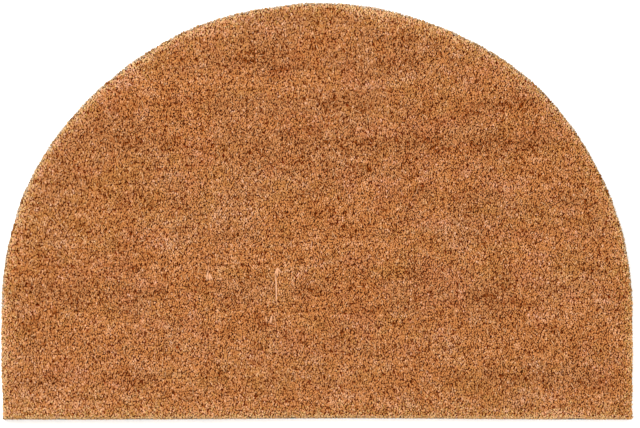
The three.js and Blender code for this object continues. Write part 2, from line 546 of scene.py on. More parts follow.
def shell(sizes, steps, corner_radius, profile, height):
    """A closed flat body round the mat's outline, as points and three-cornered faces.

    profile has a row for each ring: the share of the way from the middle to the outline, an inset, and the
    height or, if that is None, the height function's value there. A ring's point is the middle plus that
    share of the vector to the outline, drawn in by the inset. The first and the last ring are closed to one
    point each.
    """
    round_line = outline(sizes, steps, corner_radius)
    middle = np.array((0, FRONT + DEPTH * 0.45))
    _, out_x, out_y = edge_distance(sizes, round_line[:, 0], round_line[:, 1])
    outward = np.stack([out_x, out_y], 1)
    rings = []
    for share, inset, level in profile:
        flat = middle + share * (round_line - middle) - inset * outward
        z = height(flat[:, 0], flat[:, 1]) if level is None else np.full(steps, level)
        rings.append(np.column_stack([flat, z]))
    first = np.append(middle, rings[0][:, 2].mean())
    last = np.append(middle, rings[-1][:, 2].mean())
    points = np.concatenate([*rings, [first], [last]])
    here = np.arange(steps)
    after = (here + 1) % steps
    faces = []
    for ring in range(len(rings) - 1):
        a = ring * steps
        b = a + steps
        faces.append(np.stack([a + here, a + after, b + after], 1))
        faces.append(np.stack([a + here, b + after, b + here], 1))
    pole = len(rings) * steps
    top = (len(rings) - 1) * steps
    faces.append(np.stack([after, here, np.full(steps, pole)], 1))
    faces.append(np.stack([top + here, top + after, np.full(steps, pole + 1)], 1))
    return points, np.concatenate(faces)


def tube_faces(count, rings):
    """Three-cornered faces of closed three-sided tubes whose points stand ring by ring, from root to tip."""
    sides = []
    for ring in range(rings - 1):
        for corner in range(3):
            a = ring * 3 + corner
            b = ring * 3 + (corner + 1) % 3
            sides.append((a, b, b + 3))
            sides.append((a, b + 3, a + 3))
    tip = (rings - 1) * 3
    one = np.array([*sides, (tip, tip + 1, tip + 2), (2, 1, 0)])
    return (one + (np.arange(count) * rings * 3)[:, None, None]).reshape(-1, 3)


def fibre_bodies(centres, radii, turn, tilt):
    """Closed three-sided fibres, as points and three-cornered faces.

    centres has a row of places for each fibre, from root to tip. Round each place three points stand level at
    that place's radius, 120 degrees apart and turned by turn, a little further out in Y than in X. tilt lifts
    the tip's three corners, so the cut slants.
    """
    count, rings = centres.shape[:2]
    angles = turn[:, None] + np.arange(3) * 2 * math.pi / 3
    ring = np.stack([0.86 * np.cos(angles), 1.16 * np.sin(angles), np.zeros(angles.shape)], 2)
    points = centres[:, :, None, :] + radii[:, :, None, None] * ring[:, None, :, :]
    points[:, -1, :, 2] += tilt
    return points.reshape(-1, 3), tube_faces(count, rings)


def fibre_map(shade, hue, along, faces):
    """The fibres' place on the shade map, for each face corner.

    A fibre's column is its hue and its place in the column its shade. Upwards the map is the share of the way
    from root to tip. The three corners of a ring stand a little apart, so no face is without width.
    """
    count, rings = along.shape
    column = (hue + COLUMN_MARGIN + (1 - 2 * COLUMN_MARGIN) * np.clip(shade, 0, 1)) / HUES
    angles = np.arange(3) * 2 * math.pi / 3
    spread = 0.004
    u = column[:, None, None] + spread * np.cos(angles) + np.zeros((count, rings, 1))
    v = END_MARGIN + (1 - 2 * END_MARGIN) * along[:, :, None] + 2 * spread * np.sin(angles)
    return np.stack([u, v], 3).reshape(-1, 2)[faces.ravel()]


def pile_top(sizes, x, y):
    """Height of the cut pile's top: its mean height and unevenness, less a rounding along the edge."""
    distance = edge_distance(sizes, x, y)[0]
    rounding = 2.0 * MM * fade(np.maximum(distance, 0), 1.5 * MM)
    return sizes.pile_top + unevenness(x, y) - rounding


def band_tone(y):
    """How much lighter the pile is at a place, as a sum of bell curves across the mat."""
    return sum(tone * bell(y - FRONT - at * MM, half * MM) for at, half, tone in TONE_BANDS)


def spot_tone(x, y):
    """How much lighter the pile is at a place, as a sum of oval bell curves."""
    spots = [
        tone * bell(x - at_x * MM, half_x * MM) * bell(y - FRONT - at_y * MM, half_y * MM)
        for at_x, at_y, half_x, half_y, tone in TONE_SPOTS
    ]
    return np.sum(spots, axis=0)


def wall_top(sizes):
    """Height of the top of the bed's side, just under its middle. Fibres away from the rim start there."""
    return sizes.pile_top - sizes.bed_depth - 1.2 * MM


def ragged(x, y):
    """How far the pile's rim stands back from the outline at a place: soft noise, less at the two corners."""
    at_corner = bell(np.abs(x) - WIDTH / 2, 6 * MM) * bell(y - FRONT, 6 * MM)
    return 0.4 * MM * (1 + soft_noise(x, y, 13 * MM, 13 * MM, seed=34)) * (1 - at_corner)


def arch_edge_darkening(x, y, out_y):
    """How much darker and greyer the arch's outer fibres are at a place: a little, and more in patches."""
    # A darker, greyer line in patches along the arch's outer edge, put on its outermost fibres
    patches = np.maximum(soft_noise(x, y, 8 * MM, 8 * MM, seed=64) - 0.15, 0)
    return np.clip(4 * out_y, 0, 1) * (0.17 + 1.1 * patches)


def hue_patches(x, y, seed):
    """Soft noise of two sizes for patches of fibres of one hue."""
    large = soft_noise(x, y, 40 * MM, 26 * MM, seed=seed)
    small = soft_noise(x, y, 15 * MM, 12 * MM, seed=seed + 100)
    return 0.5 * large + 0.6 * small


def holes(sizes, x, y):
    """How deep in a hole a place is, from 0 to 1.

    Holes stand at scattered points. Each is an oval bell curve with its own size, direction and strength.
    """
    to_x, to_y, number = scattered_cells(x, y, sizes.hole_pitch, seed=27)[2:]
    turn = cell_values(number, seed=28, low=0.15 * math.pi, high=0.85 * math.pi)
    size = cell_values(number, seed=29, low=0.7, high=1.2) * MM
    along = to_x * np.cos(turn) + to_y * np.sin(turn)
    across = to_y * np.cos(turn) - to_x * np.sin(turn)
    strength = cell_values(number, seed=30, low=0.3, high=1.0)
    return strength * bell(along, 1.6 * size) * bell(across, 0.95 * size)


def pile_places(sizes):
    """Places for the fibres' tips: a triangular lattice, each point moved by up to 0.36 of the spacing."""
    step = sizes.fibre_spacing
    rng = np.random.default_rng(seed=11)
    columns = int(WIDTH / step) + 4
    rows = int(DEPTH / (step * math.sqrt(0.75))) + 2
    i, j = np.meshgrid(np.arange(columns), np.arange(rows))
    x = -WIDTH / 2 - step + (i + 0.5 * (j % 2)) * step
    y = FRONT + j * step * math.sqrt(0.75)
    x = x + rng.uniform(-0.36, 0.36, x.shape) * step
    y = y + rng.uniform(-0.36, 0.36, y.shape) * step
    kept = edge_distance(sizes, x, y)[0] > 0.2 * MM + ragged(x, y)
    return x[kept], y[kept]


def fibre_lean(sizes, rng, lock, edge):
    """How far each tip stands sideways of its root, in X and in Y.

    Inside the mat the lean of the fibre's lock and one of its own add up. Towards the edge both fade out,
    and a splay outwards takes over, which is small again in the outermost fibres. edge holds what
    edge_distance gives for the tips.
    """
    distance, out_x, out_y = edge
    lock_turn = cell_values(lock, seed=23, low=0, high=2 * math.pi)
    lock_lean = cell_values(lock, seed=24, low=0.2, high=1.0)
    own_turn = rng.uniform(0, 2 * math.pi, len(lock))
    own_lean = rng.uniform(0.1, 0.8, len(lock))
    at_edge = fade(distance, sizes.rim_reach)
    across = lock_lean * np.cos(lock_turn) + own_lean * np.cos(own_turn)
    upwards = lock_lean * np.sin(lock_turn) + own_lean * np.sin(own_turn)
    splay = 2.4 * MM * at_edge * (1 - 0.8 * fade(distance, 1.0 * MM))
    lean_x = sizes.lean * 0.75 * across * (1 - at_edge) + splay * out_x
    lean_y = sizes.lean * 1.5 * upwards * (1 - at_edge) + splay * out_y
    return lean_x, lean_y


def fibre_shade(rng, x, y, edge, lock, tuft, gap, hole):
    """Shade of each fibre, from 0, the darkest, to 1, the palest.

    It adds up the listed bands and spots, a lighter rim, soft noise of three sizes, a value for each lock,
    tuft and fibre, and a lighter fibre here and there. The lighter rim is in part paler fibres and in part
    painted light. Fibres in gaps and holes are darker: painted shade, added to the real shade of their lower
    tips.
    """
    distance, out_x, out_y = edge
    rim_reach = (4.7 + 1.3 * np.maximum(out_y, 0)) * MM
    shade = MEAN_SHADE + band_tone(y) + spot_tone(x, y)
    # Lighter rim, most on the left and along the arch: in part paler fibres, in part painted light where the
    # outer fibres stand free of their neighbours' shade
    shade += (0.52 + 0.20 * out_y - 0.20 * out_x) * fade(distance, rim_reach)
    for strength, size_x, size_y, seed in SHADE_NOISES:
        shade += strength * soft_noise(x, y, size_x, size_y, seed=seed)
    shade += 0.20 * (cell_values(lock, seed=25) - 0.5)
    shade += 0.08 * (cell_values(tuft, seed=26) - 0.5)
    shade += rng.normal(0, 0.09, len(x))
    shade += np.where(rng.uniform(size=len(x)) < 0.08, 0.23, 0)
    # Painted shade: fibres in the gaps between tufts and in the holes are darker
    return shade - 0.10 * gap - 0.45 * hole


def fibre_hue(rng, x, y, edge, edge_darkening):
    """Column of each fibre on the fibre map.

    Inside the mat, patches and the lighter bands and spots decide how yellow and how red a fibre is. Towards
    the edge more fibres are bleached, and most of those in the darker line along the arch's edge are greyed.
    """
    distance, _, out_y = edge
    tone = band_tone(y) + spot_tone(x, y)
    yellow = hue_patches(x, y, seed=33) + 4 * tone + rng.normal(0, 0.2, len(x))
    yellow = yellow + 1.2 * (1 - np.maximum(out_y, 0)) * fade(distance, 8 * MM)
    red = hue_patches(x, y, seed=38) + 0.6 * yellow + 1.5 * tone + rng.normal(0, 0.2, len(x))
    hue = np.where(red > 0, np.where(yellow > 0, AMBER, ROSY), np.where(yellow > 0, STRAW, DULL))
    hue = np.where(rng.uniform(size=len(x)) < 1.1 * fade(distance, 5 * MM), BLEACHED, hue)
    return np.where((edge_darkening > 0) & (rng.uniform(size=len(x)) < 0.85), GREYED, hue)


def pile_fibres(sizes):
    """All fibres of the pile, as a dictionary of arrays.

    A tip stands at its place, and its root lies back along the lean. A fibre leans more above its middle
    point than below it. Tips between two tufts, in holes and in the darkest spots stand lower, which leaves
    dark gaps.
    """
    x, y = pile_places(sizes)
    rng = np.random.default_rng(seed=12)
    count = len(x)
    edge = edge_distance(sizes, x, y)
    distance = edge[0]
    near, second, _, _, tuft = scattered_cells(x, y, sizes.tuft_pitch, seed=21)
    gap = fade(second - near, 1.0 * MM)
    hole = holes(sizes, x, y)
    lock = scattered_cells(x, y, sizes.lock_pitch, seed=22)[4]
    lean_x, lean_y = fibre_lean(sizes, rng, lock, edge)
    sunk = 0.9 * MM * gap + 4.2 * MM * hole + 8 * MM * np.maximum(-spot_tone(x, y) - 0.14, 0)
    sunk = sunk * (1 - fade(distance, sizes.rim_reach))
    lowered = np.where(rng.uniform(size=count) < 0.05, rng.uniform(0.8, 2.4, count) * MM, 0)
    tip_z = pile_top(sizes, x, y) + rng.normal(0, 0.25 * MM, count) - sunk - lowered
    root_z = np.where(distance < 2.2 * sizes.rim_reach, ROOT_Z, wall_top(sizes))
    middle_z = root_z + MIDDLE_HEIGHT * (tip_z - root_z)
    root = np.stack([x - lean_x, y - lean_y, root_z], 1)
    middle = np.stack([x - LEAN_ABOVE * lean_x, y - LEAN_ABOVE * lean_y, middle_z], 1)
    tip = np.stack([x, y, tip_z], 1)
    # The arch's outermost fibres are darker and greyer in patches, a broken dark line along its edge
    edge_darkening = np.where(distance < 2.4 * MM, arch_edge_darkening(x, y, edge[2]), 0)
    return {
        "y": y,
        "centres": np.stack([root, middle, tip], 1),
        "shade": fibre_shade(rng, x, y, edge, lock, tuft, gap, hole) - edge_darkening,
        "hue": fibre_hue(rng, x, y, edge, edge_darkening),
        "radius": sizes.fibre_radius * rng.uniform(0.75, 1.2, count),
        "turn": rng.uniform(0, 2 * math.pi, count),
        "tilt": rng.uniform(-0.25, 0.25, (count, 3)) * MM,
        "bent": rng.uniform(size=count) < 0.4,
    }


def plain_node(tree, kind, **values):
    """A node with its properties set by name."""
    node = tree.nodes.new(kind)
    for name, value in values.items():
        setattr(node, name, value)
    return node


def group_tree(name, inputs, outputs):
    """A new shader node group with these sockets, each a name and a socket type."""
    tree = bpy.data.node_groups.new(name, "ShaderNodeTree")
    for label, kind in inputs:
        tree.interface.new_socket(label, in_out="INPUT", socket_type=kind)
    for label, kind in outputs:
        tree.interface.new_socket(label, in_out="OUTPUT", socket_type=kind)
    return tree, tree.nodes.new("NodeGroupInput"), tree.nodes.new("NodeGroupOutput")


def feed(tree, socket, value):
    """Link an output to a socket, or put a number or a colour on it."""
    if isinstance(value, bpy.types.NodeSocket):
        tree.links.new(value, socket)
    elif isinstance(value, (int, float)):
        socket.default_value = value
    else:
        socket.default_value = (*value, 1)


def maths(tree, operation, *values, clamp=False):
    """A maths node of these numbers or outputs. Returns the result's socket."""
    node = plain_node(tree, "ShaderNodeMath", operation=operation, use_clamp=clamp)
    for socket, value in zip(node.inputs, values):
        feed(tree, socket, value)
    return node.outputs[0]


def mixed(tree, share, first, second, blend="MIX"):
    """A colour mix of two colours or outputs by a share. Returns the result's socket.

    The node also has sockets for numbers and vectors, so its colours are sockets 6 and 7, and the result 2.
    """
    node = plain_node(tree, "ShaderNodeMix", data_type="RGBA", blend_type=blend)
    for socket, value in ((0, share), (6, first), (7, second)):
        feed(tree, node.inputs[socket], value)
    return node.outputs[2]


def colour_ramp(tree, interpolation, place, stops):
    """A colour ramp read at an output, with these positions and colours. Returns the colour's socket."""
    node = plain_node(tree, "ShaderNodeValToRGB")
    ramp = node.color_ramp
    ramp.interpolation = interpolation
    first, *between, last = stops
    for element, (position, colour) in zip(ramp.elements, (first, last)):
        element.position = position
        element.color = (*colour, 1)
    for position, colour in between:
        ramp.elements.new(position).color = (*colour, 1)
    tree.links.new(place, node.inputs[0])
    return node.outputs[0]


def coir_group(colours):
    """Node group Coir Tone: a fibre's colour and roughness from its shade, hue and height.

    The shade runs from the dark through the golden to the pale colour. The hue picks a tint: dull, straw,
    rosy, amber, bleached or greyed. The height darkens and reddens the fibre towards its root: painted shade
    for the lower parts of the fibres, where little light reaches down between them.
    """
    tree, given, result = group_tree(
        "Coir Tone",
        (("Shade", "NodeSocketFloat"), ("Hue", "NodeSocketFloat"), ("Height", "NodeSocketFloat")),
        (("Color", "NodeSocketColor"), ("Roughness", "NodeSocketFloat")),
    )
    shades = ((0.05, colours.shade), (0.5, colours.golden), (0.98, colours.pale))
    tints = (
        (0.0, (0.984, 1.018, 1.085)),
        (0.1, (0.984, 1.018, 0.915)),
        (0.25, (1.016, 0.982, 1.085)),
        (0.4, (1.016, 0.982, 0.915)),
        (0.6, (0.99, 1.13, 0.93)),
        (0.75, (0.76, 1.12, 1.5)),
    )
    # Painted shade: darker and redder towards the root, where little light reaches between the fibres
    root_shade_stops = ((0.2, (0.30, 0.014, 0.0005)), (0.5, (0.9, 0.31, 0.03)), (0.86, (1, 1, 1)))
    shade = colour_ramp(tree, "EASE", given.outputs["Shade"], shades)
    tint = colour_ramp(tree, "CONSTANT", given.outputs["Hue"], tints)
    tinted = mixed(tree, 1.0, shade, tint, "MULTIPLY")
    depth = colour_ramp(tree, "EASE", given.outputs["Height"], root_shade_stops)
    tree.links.new(mixed(tree, 1.0, tinted, depth, "MULTIPLY"), result.inputs["Color"])
    roughness = maths(tree, "MULTIPLY_ADD", given.outputs["Height"], 0.2, 0.62)
    tree.links.new(roughness, result.inputs["Roughness"])
    return tree


def coir_tone(tree, colours):
    """The node group Coir Tone placed in a material. It is built the first time it is asked for."""
    group = bpy.data.node_groups.get("Coir Tone") or coir_group(colours)
    return plain_node(tree, "ShaderNodeGroup", node_tree=group)


def new_material(name, roughness, specular):
    """A material with a Principled shader. Returns it, its node tree and the shader."""
    material = bpy.data.materials.new(name)
    material.use_nodes = True
    shader = material.node_tree.nodes["Principled BSDF"]
    shader.inputs["Roughness"].default_value = roughness
    shader.inputs["Specular IOR Level"].default_value = specular
    return material, material.node_tree, shader


def fibre_material(colours):
    """Cut coconut fibre. The fibre map's columns give the hue, the place in a column the shade."""
    material, tree, shader = new_material("coir_fibre", roughness=0.8, specular=0.03)
    place = plain_node(tree, "ShaderNodeUVMap", uv_map=FIBRE_MAP)
    split = tree.nodes.new("ShaderNodeSeparateXYZ")
    tree.links.new(place.outputs["UV"], split.inputs[0])
    columns = maths(tree, "MULTIPLY", split.outputs["X"], HUES)
    hue = maths(tree, "DIVIDE", maths(tree, "FLOOR", columns), HUES)
    inside = maths(tree, "SUBTRACT", maths(tree, "FRACT", columns), COLUMN_MARGIN)
    shade = maths(tree, "DIVIDE", inside, 1 - 2 * COLUMN_MARGIN, clamp=True)
    tone = coir_tone(tree, colours)
    tree.links.new(hue, tone.inputs["Hue"])
    tree.links.new(shade, tone.inputs["Shade"])
    # The share of the way up the fibre drives Coir Tone's painted shade towards the root
    tree.links.new(split.outputs["Y"], tone.inputs["Height"])
    tree.links.new(tone.outputs["Color"], shader.inputs["Base Color"])
    tree.links.new(tone.outputs["Roughness"], shader.inputs["Roughness"])
    return material


def object_noise(tree, scale, detail, stretch=(1, 1, 1)):
    """Noise on Object coordinates, stretched by axis. Returns its value's socket."""
    place = tree.nodes.new("ShaderNodeTexCoord")
    mapping = tree.nodes.new("ShaderNodeMapping")
    mapping.inputs["Scale"].default_value = stretch
    noise = tree.nodes.new("ShaderNodeTexNoise")
    noise.inputs["Scale"].default_value = scale
    noise.inputs["Detail"].default_value = detail
    tree.links.new(place.outputs["Object"], mapping.inputs["Vector"])
    tree.links.new(mapping.outputs["Vector"], noise.inputs["Vector"])
    return noise.outputs[0]


def bump_from(tree, shader, height, strength, distance):
    """Bump from a height output on the shader's Normal."""
    bump = tree.nodes.new("ShaderNodeBump")
    bump.inputs["Strength"].default_value = strength
    bump.inputs["Distance"].default_value = distance
    tree.links.new(height, bump.inputs["Height"])
    tree.links.new(bump.outputs["Normal"], shader.inputs["Normal"])


def bed_material(colours):
    """The dense lower pile: the same fibre in shade, speckled at the width of a fibre."""
    material, tree, shader = new_material("coir_bed", roughness=0.95, specular=0.02)
    speckle = object_noise(tree, scale=900, detail=3, stretch=(1, 1, 0.35))
    cloud = object_noise(tree, scale=60, detail=2)
    shade = maths(tree, "ADD", maths(tree, "MULTIPLY", speckle, 0.9), maths(tree, "MULTIPLY", cloud, 0.3))
    tone = coir_tone(tree, colours)
    # Painted shade: low shades, and through the height the root end's darker, redder colour, as deep in the
    # pile where little light reaches
    tree.links.new(maths(tree, "SUBTRACT", shade, 0.3, clamp=True), tone.inputs["Shade"])
    tree.links.new(maths(tree, "MULTIPLY", cloud, 0.6), tone.inputs["Hue"])
    tree.links.new(maths(tree, "MULTIPLY", speckle, 0.9), tone.inputs["Height"])
    tree.links.new(tone.outputs["Color"], shader.inputs["Base Color"])
    bump_from(tree, shader, speckle, strength=0.9, distance=0.6 * MM)
    return material


def backing_material(colours):
    """Dark flexible sheet: a little uneven in tone, with a fine pebbled grain."""
    material, tree, shader = new_material("backing_sheet", roughness=0.75, specular=0.35)
    cloud = object_noise(tree, scale=38, detail=3)
    lighter = tuple(2.4 * c for c in colours.backing)
    tree.links.new(mixed(tree, cloud, tuple(colours.backing), lighter), shader.inputs["Base Color"])
    tree.links.new(maths(tree, "ADD", maths(tree, "MULTIPLY", cloud, 0.25), 0.6), shader.inputs["Roughness"])
    place = tree.nodes.new("ShaderNodeTexCoord")
    pebbles = tree.nodes.new("ShaderNodeTexVoronoi")
    pebbles.inputs["Scale"].default_value = 520
    tree.links.new(place.outputs["Object"], pebbles.inputs["Vector"])
    bump_from(tree, shader, pebbles.outputs["Distance"], strength=0.5, distance=0.25 * MM)
    return material


def floor_material(colours):
    """Plain pale matt floor."""
    material, _, shader = new_material("stage_floor", roughness=0.95, specular=0.1)
    shader.inputs["Base Color"].default_value = (*colours.floor, 1)
    return material


def random_places(sizes, rng, count, margin):
    """Random places inside the mat's edge by a margin: twice as many are drawn, and the first ones kept."""
    x = rng.uniform(-0.5, 0.5, count * 2) * WIDTH
    y = FRONT + rng.uniform(0, 1, count * 2) * DEPTH
    inside = np.flatnonzero(edge_distance(sizes, x, y)[0] > margin)[:count]
    return x[inside], y[inside]


def stray_bodies(sizes, x, y, length, turn, bow, radius, shade, hue, steps):
    """Long fibres that lie on the pile, as points, faces and their place on the fibre map.

    A fibre's middle line has as many points as steps. It is straight in its direction, plus a parabola that
    stands out by its bow, and its height follows the pile's top, with both ends sunk. It has three sides, is
    unevenly thick and is flat where it is wide. The ends are as thin as half of the radius.
    """
    rng = np.random.default_rng(seed=52)
    lift = 0.35 * MM
    end_drop = 1.3 * MM
    wobble = 0.3 * MM
    most_height = 0.6 * MM
    s = np.linspace(-1, 1, steps)
    along = np.stack([np.cos(turn), np.sin(turn)], 1)
    across = np.stack([-along[:, 1], along[:, 0]], 1)
    flat = np.stack([x, y], 1)[:, None] + (length[:, None] / 2 * s)[:, :, None] * along[:, None]
    flat = flat + (bow[:, None] * (1 - s**2))[:, :, None] * across[:, None]
    z = pile_top(sizes, flat[..., 0], flat[..., 1]) + lift - end_drop * s**4
    z = z + wobble * rng.uniform(-1, 1, z.shape)
    centres = np.concatenate([flat, z[..., None]], 2)
    radius = radius[:, None] * (1 - 0.5 * s**2) * rng.uniform(0.6, 1.25, (len(x), steps))
    angles = np.arange(3) * 2 * math.pi / 3 + math.pi / 2
    sideways = np.concatenate([across, np.zeros((len(x), 1))], 1)
    wide = (np.cos(angles)[None, :, None] * sideways[:, None])[:, None]
    high = np.sin(angles)[:, None] * np.array((0, 0, 1))
    thick = np.minimum(radius, most_height)
    points = centres[:, :, None] + radius[:, :, None, None] * wide + thick[:, :, None, None] * high
    faces = tube_faces(len(x), steps)
    # The ends stand lower on the fibre map, so its painted shade darkens them where they sink into the pile
    uv = fibre_map(shade, np.full(len(x), hue), np.tile(1 - 0.25 * s**2, (len(x), 1)), faces)
    return points.reshape(-1, 3), faces, uv


class DOORMAT_OT_backing(bpy.types.Operator):
    """Make the dark backing sheet on the mat's full outline"""

    bl_idname = "doormat.backing"
    bl_label = "Backing Sheet"

    def execute(self, context):
        sizes = context.scene.doormat_sizes
        edge = 0.35 * MM
        profile = [
            (0.5, 0, 0),
            (1, edge, 0),
            (1, 0, edge),
            (1, 0, BACKING_TOP - edge),
            (1, edge, BACKING_TOP),
            (0.5, 0, BACKING_TOP),
        ]
        points, faces = shell(sizes, 360, corner_radius=2 * MM, profile=profile, height=None)
        material = backing_material(context.scene.doormat_colours)
        sheet = mesh_piece("mat_backing", points, faces, material, smooth=False)
        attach(sheet, "root")
        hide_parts("backing")
        return {"FINISHED"}


class DOORMAT_OT_pile_bed(bpy.types.Operator):
    """Make the dense dark bed that the fibres' tips stand out of"""

    bl_idname = "doormat.pile_bed"
    bl_label = "Pile Bed"

    def execute(self, context):
        sizes = context.scene.doormat_sizes
        rim = 1.9 * MM

        def bed_top(x, y):
            """The pile's top less the bed's depth, with lumps as wide as a lock."""
            near, second = scattered_cells(x, y, sizes.lock_pitch * 1.6, seed=41)[:2]
            lumps = 1.1 * MM * (near / (near + second + 1e-9) - 0.3)
            return sizes.pile_top + unevenness(x, y) - sizes.bed_depth - lumps

        rings = 44
        side_top = wall_top(sizes)
        profile = [
            (0.5, 0, PILE_BASE),
            (1, rim + 0.3 * MM, PILE_BASE),
            (1, rim, (PILE_BASE + side_top) / 2),
            (1, rim, side_top),
        ]
        profile += [(1 - ring / rings, rim + 1.2 * MM, None) for ring in range(rings)]
        points, faces = shell(sizes, 320, corner_radius=5 * MM, profile=profile, height=bed_top)
        bed = mesh_piece("pile_bed", points, faces, bed_material(context.scene.doormat_colours))
        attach(bed, "root")
        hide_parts("pile")
        return {"FINISHED"}


class DOORMAT_OT_fibres(bpy.types.Operator):
    """Make the standing fibres of the pile, in crosswise bands"""

    bl_idname = "doormat.fibres"
    bl_label = "Standing Fibres"

    def execute(self, context):
        fibres = pile_fibres(context.scene.doormat_sizes)
        material = fibre_material(context.scene.doormat_colours)
        order = np.argsort(fibres["y"], kind="stable")
        for band, members in enumerate(np.array_split(order, BAND_COUNT)):
            piece = self.band("pile_band_%d" % (band + 1), fibres, members, material)
            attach(piece, "root")
        return {"FINISHED"}

    @staticmethod
    def band(name, fibres, members, material):
        """One band: straight fibres have two rings of points, and bent ones a third between them."""
        points, faces, maps = [], [], []
        count = 0
        for bent, rings in ((False, [0, 2]), (True, [0, 1, 2])):
            some = members[fibres["bent"][members] == bent]
            centres = fibres["centres"][some][:, rings]
            radii = fibres["radius"][some][:, None] * np.array(FIBRE_TAPER)[rings]
            body, sides = fibre_bodies(centres, radii, fibres["turn"][some], fibres["tilt"][some])
            along = np.tile(np.array((0, MIDDLE_HEIGHT, 1))[rings], (len(some), 1))
            maps.append(fibre_map(fibres["shade"][some], fibres["hue"][some], along, sides))
            points.append(body)
            faces.append(sides + count)
            count += len(body)
        return mesh_piece(name, np.concatenate(points), np.concatenate(faces), material, np.concatenate(maps))


class DOORMAT_OT_rim_fibres(bpy.types.Operator):
    """Make the rows of fibres that stand along the edge and close its side"""

    bl_idname = "doormat.rim_fibres"
    bl_label = "Rim Fibres"

    rows = ((0.1 * MM, 1.8 * MM), (1.0 * MM, 0.8 * MM))  # each row's inset and how far its tips stand lower
    radius = 0.55 * MM
    taper = (1.0, 1.0, 0.75)
    # The rim fibres stand high on the fibre map, so they get little of its painted shade towards the root
    shown = (0.84, 0.95, 1.0)  # place on the fibre map of the root, the middle and the tip

    def execute(self, context):
        sizes = context.scene.doormat_sizes
        rng = np.random.default_rng(seed=61)
        rows = [self.row(sizes, rng, inset, drop) for inset, drop in self.rows]
        centres = np.concatenate([*rows, self.hanging(sizes, rng)])
        count = len(centres)
        radii = self.radius * rng.uniform(0.75, 1.2, count)[:, None] * np.array(self.taper)
        turn = rng.uniform(0, 2 * math.pi, count)
        points, faces = fibre_bodies(centres, radii, turn, rng.uniform(-0.3, 0.3, (count, 3)) * MM)
        tip_x, tip_y = centres[:, 2, 0], centres[:, 2, 1]
        patches = soft_noise(tip_x, tip_y, 16 * MM, 16 * MM, seed=62)
        _, out_x, out_y = edge_distance(sizes, tip_x, tip_y)
        # Lighter on the left, the right and most at the front: in part paler fibres, in part painted light on
        # the outermost fibres
        side_lightening = 0.12 * np.maximum(-out_x, 0) + 0.15 * np.maximum(out_x - out_y, 0)
        side_lightening = side_lightening + 0.30 * np.maximum(-out_y, 0)
        edge_darkening = arch_edge_darkening(tip_x, tip_y, out_y)
        shade = 0.6 + side_lightening + 0.18 * patches - 0.35 * edge_darkening + rng.normal(0, 0.12, count)
        hue = np.where(rng.uniform(size=count) < 0.65, BLEACHED, DULL)
        hue = np.where((edge_darkening > 0) & (rng.uniform(size=count) < 0.2), GREYED, hue)
        uv = fibre_map(shade, hue, np.tile(self.shown, (count, 1)), faces)
        piece = mesh_piece("rim_fibres", points, faces, bpy.data.materials["coir_fibre"], uv)
        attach(piece, "root")
        return {"FINISHED"}

    @staticmethod
    def row(sizes, rng, inset, drop):
        """One row: root, a middle that bulges out and a tip drawn back in, lower at the outside."""
        line = outline(sizes, sizes.rim_row_count, corner_radius=0.3 * MM)
        _, out_x, out_y = edge_distance(sizes, line[:, 0], line[:, 1])
        out = np.stack([out_x, out_y], 1)
        along = np.stack([-out_y, out_x], 1)
        count = len(line)
        back = inset + ragged(line[:, 0], line[:, 1]) + 0.3 * MM * rng.uniform(-1, 1, count)
        slip = rng.normal(0, 1.1 * MM, count)
        bulge = 0.5 * MM
        flat = [
            line - (back + bulge)[:, None] * out,
            line - back[:, None] * out + 0.5 * slip[:, None] * along,
            line - (back + bulge)[:, None] * out + slip[:, None] * along,
        ]
        tip = sizes.pile_top + unevenness(line[:, 0], line[:, 1]) - drop * rng.uniform(0.5, 1.3, count)
        root = np.full(count, ROOT_Z)
        levels = [root, root + 0.62 * (tip - root), tip]
        return np.stack([np.column_stack([f, z]) for f, z in zip(flat, levels)], 1)

    @staticmethod
    def hanging(sizes, rng):
        """Fibres that hang over the straight edge, in patches, with middle and tip before the sheet."""
        x = np.linspace(-0.496, 0.496, sizes.hanging_count) * WIDTH
        x = x[soft_noise(x, np.zeros(len(x)), 17 * MM, 17 * MM, seed=63) > -0.3]
        x = x + rng.uniform(-0.4, 0.4, len(x)) * MM
        slip = rng.normal(0, 0.8 * MM, len(x))
        edge = FRONT + front_draw(sizes, x)
        places = [
            (x, edge + 0.7 * MM, np.full(len(x), BACKING_TOP + 4 * MM)),
            (x + 0.5 * slip, edge + 0.2 * MM, np.full(len(x), BACKING_TOP + 0.6 * MM)),
            (x + slip, edge + 0.15 * MM, rng.uniform(0.6, 1.6, len(x)) * MM),
        ]
        return np.stack([np.column_stack(place) for place in places], 1)


class DOORMAT_OT_stray_fibres(bpy.types.Operator):
    """Scatter loose pale fibres over the top of the pile"""

    bl_idname = "doormat.stray_fibres"
    bl_label = "Stray Fibres"

    def execute(self, context):
        sizes = context.scene.doormat_sizes
        rng = np.random.default_rng(seed=51)
        x, y = random_places(sizes, rng, sizes.stray_count, margin=6 * MM)
        some = len(x)
        named = np.array(STRAY_FIBRES) * (MM, MM, MM, 1, MM, MM, 1)
        x = np.concatenate([x, named[:, 0]])
        y = np.concatenate([y, FRONT + named[:, 1]])
        length = np.concatenate([rng.uniform(4, 9, some) * MM, named[:, 2]])
        turn = np.concatenate([rng.normal(90, 28, some), named[:, 3]]) * math.pi / 180
        bow = np.concatenate([rng.uniform(-0.8, 0.8, some) * MM, named[:, 4]])
        radius = np.concatenate([rng.uniform(0.35, 0.55, some) * MM, named[:, 5]])
        shade = np.concatenate([rng.uniform(0.5, 0.75, some), named[:, 6]])
        points, faces, uv = stray_bodies(sizes, x, y, length, turn, bow, radius, shade, hue=DULL, steps=9)
        piece = mesh_piece("stray_fibres", points, faces, bpy.data.materials["coir_fibre"], uv)
        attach(piece, "root")
        return {"FINISHED"}


